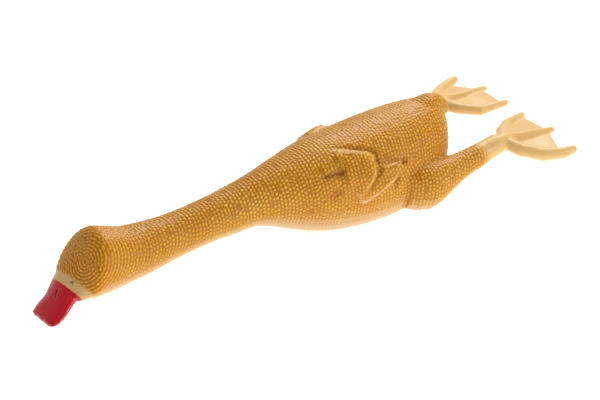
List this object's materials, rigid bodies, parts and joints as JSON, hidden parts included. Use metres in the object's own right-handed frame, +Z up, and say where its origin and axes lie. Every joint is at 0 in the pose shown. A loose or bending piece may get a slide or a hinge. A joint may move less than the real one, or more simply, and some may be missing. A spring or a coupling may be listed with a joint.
{
  "type": "rubber duck prop",
  "caption": "Plucked rubber duck prop: hollow pebbled latex body with bending neck and legs, red bill, webbed feet and a squeaker in the belly.",
  "frame": {"origin": "bottom centre of the bounding box, moved along X and Y to the middle of the body on its plane of symmetry: a point on the floor under the fullest part of the belly", "axes": "+X from the head to the feet, along the bird; +Z up; -Y is the bird's left side, and the bird faces -X"},
  "size_m": [0.4541, 0.1694, 0.0947],
  "materials": {
    "latex": "golden ochre latex with rounded pebbles, brown in the hollows",
    "bill_paint": "glossy red paint over the latex",
    "squeaker_plastic": "plain moulded plastic",
    "reed_metal": "thin springy strip"
  },
  "bodies": {
    "trunk": {"torso_skin": "latex", "left_wing": "latex", "right_wing": "latex", "tail": "latex", "left_thigh": "latex", "right_thigh": "latex", "squeaker_housing": "squeaker_plastic", "squeaker_cap": "squeaker_plastic", "reed_seat": "squeaker_plastic", "squeaker_reed": "reed_metal", "neck_root_flex": "latex", "left_hip_flex": "latex", "right_hip_flex": "latex"},
    "neck_low": {"neck_lower": "latex", "neck_lower_flex": "latex"},
    "neck_mid": {"neck_middle": "latex", "neck_middle_flex": "latex"},
    "neck_high": {"neck_upper": "latex", "neck_upper_flex": "latex"},
    "neck_end": {"neck_top": "latex", "nape_flex": "latex"},
    "head": {"head_skin": "latex", "upper_bill": "bill_paint", "lower_bill": "bill_paint"},
    "left_drumstick": {"left_drumstick": "latex", "left_knee_flex": "latex"},
    "left_shank": {"left_shank": "latex", "left_ankle_flex": "latex"},
    "left_foot": {"left_foot": "latex"},
    "right_drumstick": {"right_drumstick": "latex", "right_knee_flex": "latex"},
    "right_shank": {"right_shank": "latex", "right_ankle_flex": "latex"},
    "right_foot": {"right_foot": "latex"}
  },
  "joints": [
    {"name": "neck_root_pitch", "type": "hinge", "parent": "trunk", "child": "neck_low", "pos_m": [-0.088, 0, 0.042], "axis": [0, 1, 0], "range_deg": [-40, 40], "stiffness_Nm_per_rad": 2, "deforming": ["neck_root_flex"]},
    {"name": "neck_low_yaw", "type": "hinge", "parent": "neck_low", "child": "neck_mid", "pos_m": [-0.114, 0, 0.0391], "axis": [0, 0, 1], "range_deg": [-40, 40], "stiffness_Nm_per_rad": 1.6, "deforming": ["neck_lower_flex"]},
    {"name": "neck_mid_pitch", "type": "hinge", "parent": "neck_mid", "child": "neck_high", "pos_m": [-0.14, -0.0003, 0.0355], "axis": [0, 1, 0], "range_deg": [-40, 40], "stiffness_Nm_per_rad": 1.5, "deforming": ["neck_middle_flex"]},
    {"name": "neck_high_yaw", "type": "hinge", "parent": "neck_high", "child": "neck_end", "pos_m": [-0.166, -0.0005, 0.0319], "axis": [0, 0, 1], "range_deg": [-40, 40], "stiffness_Nm_per_rad": 1.3, "deforming": ["neck_upper_flex"]},
    {"name": "nape_pitch", "type": "hinge", "parent": "neck_end", "child": "head", "pos_m": [-0.196, -0.0017, 0.03], "axis": [0, 1, 0], "range_deg": [-35, 35], "stiffness_Nm_per_rad": 1.2, "deforming": ["nape_flex"]},
    {"name": "left_hip_pitch", "type": "hinge", "parent": "trunk", "child": "left_drumstick", "pos_m": [0.073, -0.0421, 0.0453], "axis": [0, 1, 0], "range_deg": [-30, 35], "stiffness_Nm_per_rad": 0.6, "deforming": ["left_hip_flex"]},
    {"name": "left_knee_splay", "type": "hinge", "parent": "left_drumstick", "child": "left_shank", "pos_m": [0.088, -0.0432, 0.0507], "axis": [-0.3584, 0, 0.9336], "range_deg": [-30, 14], "stiffness_Nm_per_rad": 0.4, "deforming": ["left_knee_flex"]},
    {"name": "left_ankle_pitch", "type": "hinge", "parent": "left_shank", "child": "left_foot", "pos_m": [0.106, -0.0443, 0.0571], "axis": [0, 1, 0], "range_deg": [-40, 40], "stiffness_Nm_per_rad": 0.3, "deforming": ["left_ankle_flex"]},
    {"name": "right_hip_pitch", "type": "hinge", "parent": "trunk", "child": "right_drumstick", "pos_m": [0.073, 0.0421, 0.0453], "axis": [0, 1, 0], "range_deg": [-30, 35], "stiffness_Nm_per_rad": 0.6, "deforming": ["right_hip_flex"]},
    {"name": "right_knee_splay", "type": "hinge", "parent": "right_drumstick", "child": "right_shank", "pos_m": [0.088, 0.0432, 0.0507], "axis": [-0.3584, 0, 0.9336], "range_deg": [-14, 30], "stiffness_Nm_per_rad": 0.4, "deforming": ["right_knee_flex"]},
    {"name": "right_ankle_pitch", "type": "hinge", "parent": "right_shank", "child": "right_foot", "pos_m": [0.106, 0.0443, 0.0571], "axis": [0, 1, 0], "range_deg": [-40, 40], "stiffness_Nm_per_rad": 0.3, "deforming": ["right_ankle_flex"]}
  ]
}
